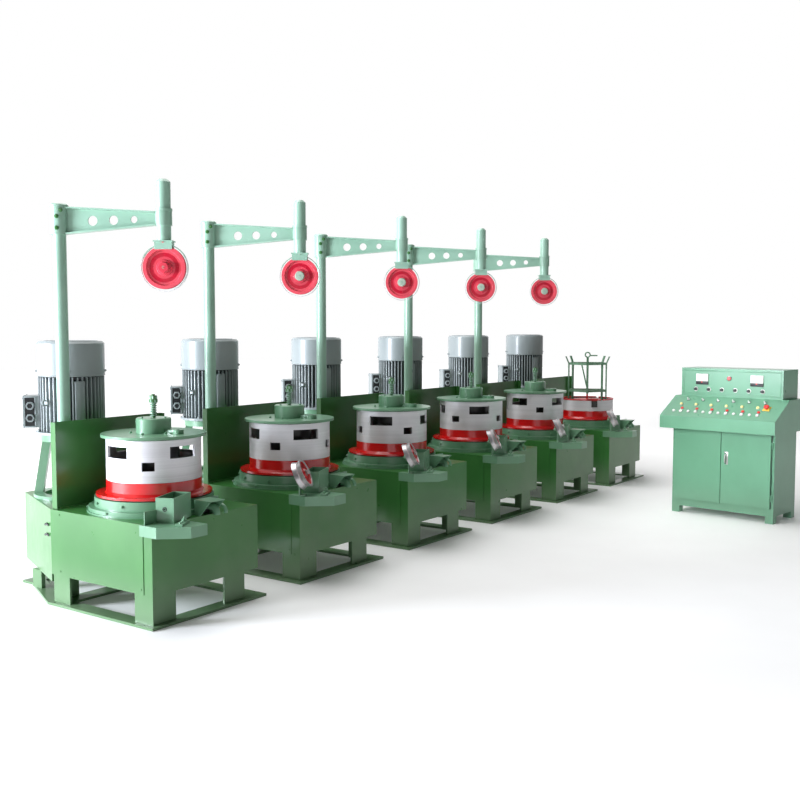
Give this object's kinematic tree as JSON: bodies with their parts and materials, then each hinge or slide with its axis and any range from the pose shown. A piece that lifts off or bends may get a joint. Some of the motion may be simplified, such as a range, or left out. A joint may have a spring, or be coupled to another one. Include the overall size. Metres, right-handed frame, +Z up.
{
  "type": "wire drawing machine",
  "caption": "Straight line of upright drum blocks that draw rod into wire, with overhead guide pulleys, vertical motors, a take-up drum with a coil stripper and a control console.",
  "frame": {"origin": "on the floor under the drum axis of the first block, which is the middle of its anchor pattern", "axes": "+X along the line from the first block to the take-up block, +Y to the motors, +Z up"},
  "size_m": [7, 3.6629, 2.527],
  "materials": {
    "green_enamel": "gloss machine enamel",
    "red_enamel": "gloss enamel",
    "silver_steel": "satin",
    "pulley_steel": "satin, red painted web",
    "motor_grey": "semi-gloss",
    "control_plastic": "gloss"
  },
  "bodies": {
    "machine_line": {"floor_cross_bars": "green_enamel", "floor_side_bars": "green_enamel", "base_legs": "green_enamel", "block_housings": "green_enamel", "side_covers": "green_enamel", "rear_housings": "green_enamel", "drum_pedestals": "green_enamel", "guard_plates": "green_enamel", "pulley_posts": "green_enamel", "pulley_arms": "green_enamel", "motor_frames": "motor_grey", "motor_cowls": "motor_grey", "terminal_boxes": "motor_grey", "motor_stools": "green_enamel", "die_trays": "green_enamel", "die_boxes": "green_enamel", "entry_plate": "green_enamel", "water_covers": "green_enamel", "water_pipes": "green_enamel", "guide_brackets": "green_enamel", "console_cabinet": "green_enamel", "console_desk": "green_enamel", "console_controls": "control_plastic"},
    "drum_body_1": {"drum_1": "red_enamel", "drum_shell_1": "silver_steel"},
    "drum_body_2": {"drum_2": "red_enamel", "drum_shell_2": "silver_steel"},
    "drum_body_3": {"drum_3": "red_enamel", "drum_shell_3": "silver_steel"},
    "drum_body_4": {"drum_4": "red_enamel", "drum_shell_4": "silver_steel"},
    "drum_body_5": {"drum_5": "red_enamel", "drum_shell_5": "silver_steel"},
    "drum_body_6": {"drum_6": "red_enamel", "drum_shell_6": "silver_steel", "coil_stripper": "green_enamel"},
    "top_disc_body_1": {"top_disc_1": "green_enamel"},
    "hanger_body_1": {"pulley_hanger_1": "green_enamel"},
    "overhead_pulley_body_1": {"overhead_pulley_1": "red_enamel"},
    "top_disc_body_2": {"top_disc_2": "green_enamel"},
    "hanger_body_2": {"pulley_hanger_2": "green_enamel"},
    "overhead_pulley_body_2": {"overhead_pulley_2": "red_enamel"},
    "top_disc_body_3": {"top_disc_3": "green_enamel"},
    "hanger_body_3": {"pulley_hanger_3": "green_enamel"},
    "overhead_pulley_body_3": {"overhead_pulley_3": "red_enamel"},
    "top_disc_body_4": {"top_disc_4": "green_enamel"},
    "hanger_body_4": {"pulley_hanger_4": "green_enamel"},
    "overhead_pulley_body_4": {"overhead_pulley_4": "red_enamel"},
    "top_disc_body_5": {"top_disc_5": "green_enamel"},
    "hanger_body_5": {"pulley_hanger_5": "green_enamel"},
    "overhead_pulley_body_5": {"overhead_pulley_5": "red_enamel"},
    "guide_pulley_body_2": {"guide_pulley_2": "pulley_steel"},
    "guide_pulley_body_3": {"guide_pulley_3": "pulley_steel"},
    "guide_pulley_body_4": {"guide_pulley_4": "pulley_steel"},
    "guide_pulley_body_5": {"guide_pulley_5": "pulley_steel"},
    "guide_pulley_body_6": {"guide_pulley_6": "pulley_steel"},
    "console_door_body_left": {"console_door_left": "green_enamel"},
    "console_door_body_right": {"console_door_right": "green_enamel"}
  },
  "joints": [
    {"name": "drum_spin_1", "type": "hinge", "parent": "machine_line", "child": "drum_body_1", "pos_m": [0, 0, 0.656], "axis": [0, 0, 1], "continuous": true},
    {"name": "drum_spin_2", "type": "hinge", "parent": "machine_line", "child": "drum_body_2", "pos_m": [1.22, 0, 0.656], "axis": [0, 0, 1], "continuous": true},
    {"name": "drum_spin_3", "type": "hinge", "parent": "machine_line", "child": "drum_body_3", "pos_m": [2.44, 0, 0.656], "axis": [0, 0, 1], "continuous": true},
    {"name": "drum_spin_4", "type": "hinge", "parent": "machine_line", "child": "drum_body_4", "pos_m": [3.66, 0, 0.656], "axis": [0, 0, 1], "continuous": true},
    {"name": "drum_spin_5", "type": "hinge", "parent": "machine_line", "child": "drum_body_5", "pos_m": [4.88, 0, 0.656], "axis": [0, 0, 1], "continuous": true},
    {"name": "drum_spin_6", "type": "hinge", "parent": "machine_line", "child": "drum_body_6", "pos_m": [6.1, 0, 0.656], "axis": [0, 0, 1], "continuous": true},
    {"name": "top_disc_spin_1", "type": "hinge", "parent": "drum_body_1", "child": "top_disc_body_1", "pos_m": [0, 0, 1.023], "axis": [0, 0, 1], "continuous": true},
    {"name": "hanger_swivel_1", "type": "hinge", "parent": "machine_line", "child": "hanger_body_1", "pos_m": [0.052, -0.062, 2.297], "axis": [0, 0, 1], "range_deg": [-90, 90]},
    {"name": "overhead_pulley_spin_1", "type": "hinge", "parent": "hanger_body_1", "child": "overhead_pulley_body_1", "pos_m": [0.052, -0.062, 2.007], "axis": [0.8151, 0.5793, 0], "continuous": true},
    {"name": "top_disc_spin_2", "type": "hinge", "parent": "drum_body_2", "child": "top_disc_body_2", "pos_m": [1.22, 0, 1.023], "axis": [0, 0, 1], "continuous": true},
    {"name": "hanger_swivel_2", "type": "hinge", "parent": "machine_line", "child": "hanger_body_2", "pos_m": [1.272, -0.062, 2.297], "axis": [0, 0, 1], "range_deg": [-90, 90]},
    {"name": "overhead_pulley_spin_2", "type": "hinge", "parent": "hanger_body_2", "child": "overhead_pulley_body_2", "pos_m": [1.272, -0.062, 2.007], "axis": [0.8151, 0.5793, 0], "continuous": true},
    {"name": "top_disc_spin_3", "type": "hinge", "parent": "drum_body_3", "child": "top_disc_body_3", "pos_m": [2.44, 0, 1.023], "axis": [0, 0, 1], "continuous": true},
    {"name": "hanger_swivel_3", "type": "hinge", "parent": "machine_line", "child": "hanger_body_3", "pos_m": [2.492, -0.062, 2.297], "axis": [0, 0, 1], "range_deg": [-90, 90]},
    {"name": "overhead_pulley_spin_3", "type": "hinge", "parent": "hanger_body_3", "child": "overhead_pulley_body_3", "pos_m": [2.492, -0.062, 2.007], "axis": [0.8151, 0.5793, 0], "continuous": true},
    {"name": "top_disc_spin_4", "type": "hinge", "parent": "drum_body_4", "child": "top_disc_body_4", "pos_m": [3.66, 0, 1.023], "axis": [0, 0, 1], "continuous": true},
    {"name": "hanger_swivel_4", "type": "hinge", "parent": "machine_line", "child": "hanger_body_4", "pos_m": [3.712, -0.062, 2.297], "axis": [0, 0, 1], "range_deg": [-90, 90]},
    {"name": "overhead_pulley_spin_4", "type": "hinge", "parent": "hanger_body_4", "child": "overhead_pulley_body_4", "pos_m": [3.712, -0.062, 2.007], "axis": [0.8151, 0.5793, 0], "continuous": true},
    {"name": "top_disc_spin_5", "type": "hinge", "parent": "drum_body_5", "child": "top_disc_body_5", "pos_m": [4.88, 0, 1.023], "axis": [0, 0, 1], "continuous": true},
    {"name": "hanger_swivel_5", "type": "hinge", "parent": "machine_line", "child": "hanger_body_5", "pos_m": [4.932, -0.062, 2.297], "axis": [0, 0, 1], "range_deg": [-90, 90]},
    {"name": "overhead_pulley_spin_5", "type": "hinge", "parent": "hanger_body_5", "child": "overhead_pulley_body_5", "pos_m": [4.932, -0.062, 2.007], "axis": [0.8151, 0.5793, 0], "continuous": true},
    {"name": "guide_pulley_spin_2", "type": "hinge", "parent": "machine_line", "child": "guide_pulley_body_2", "pos_m": [0.79217, -0.48624, 0.71386], "axis": [0.4255, -0.8002, 0.4226], "continuous": true},
    {"name": "guide_pulley_spin_3", "type": "hinge", "parent": "machine_line", "child": "guide_pulley_body_3", "pos_m": [2.01217, -0.48624, 0.71386], "axis": [0.4255, -0.8002, 0.4226], "continuous": true},
    {"name": "guide_pulley_spin_4", "type": "hinge", "parent": "machine_line", "child": "guide_pulley_body_4", "pos_m": [3.23217, -0.48624, 0.71386], "axis": [0.4255, -0.8002, 0.4226], "continuous": true},
    {"name": "guide_pulley_spin_5", "type": "hinge", "parent": "machine_line", "child": "guide_pulley_body_5", "pos_m": [4.45217, -0.48624, 0.71386], "axis": [0.4255, -0.8002, 0.4226], "continuous": true},
    {"name": "guide_pulley_spin_6", "type": "hinge", "parent": "machine_line", "child": "guide_pulley_body_6", "pos_m": [5.67217, -0.48624, 0.71386], "axis": [0.4255, -0.8002, 0.4226], "continuous": true},
    {"name": "console_door_left_hinge", "type": "hinge", "parent": "machine_line", "child": "console_door_body_left", "pos_m": [4.66651, -1.51294, 0.44], "axis": [0, 0, 1], "range_deg": [-110, 0]},
    {"name": "console_door_right_hinge", "type": "hinge", "parent": "machine_line", "child": "console_door_body_right", "pos_m": [4.54827, -2.39909, 0.44], "axis": [0, 0, 1], "range_deg": [0, 110]}
  ]
}
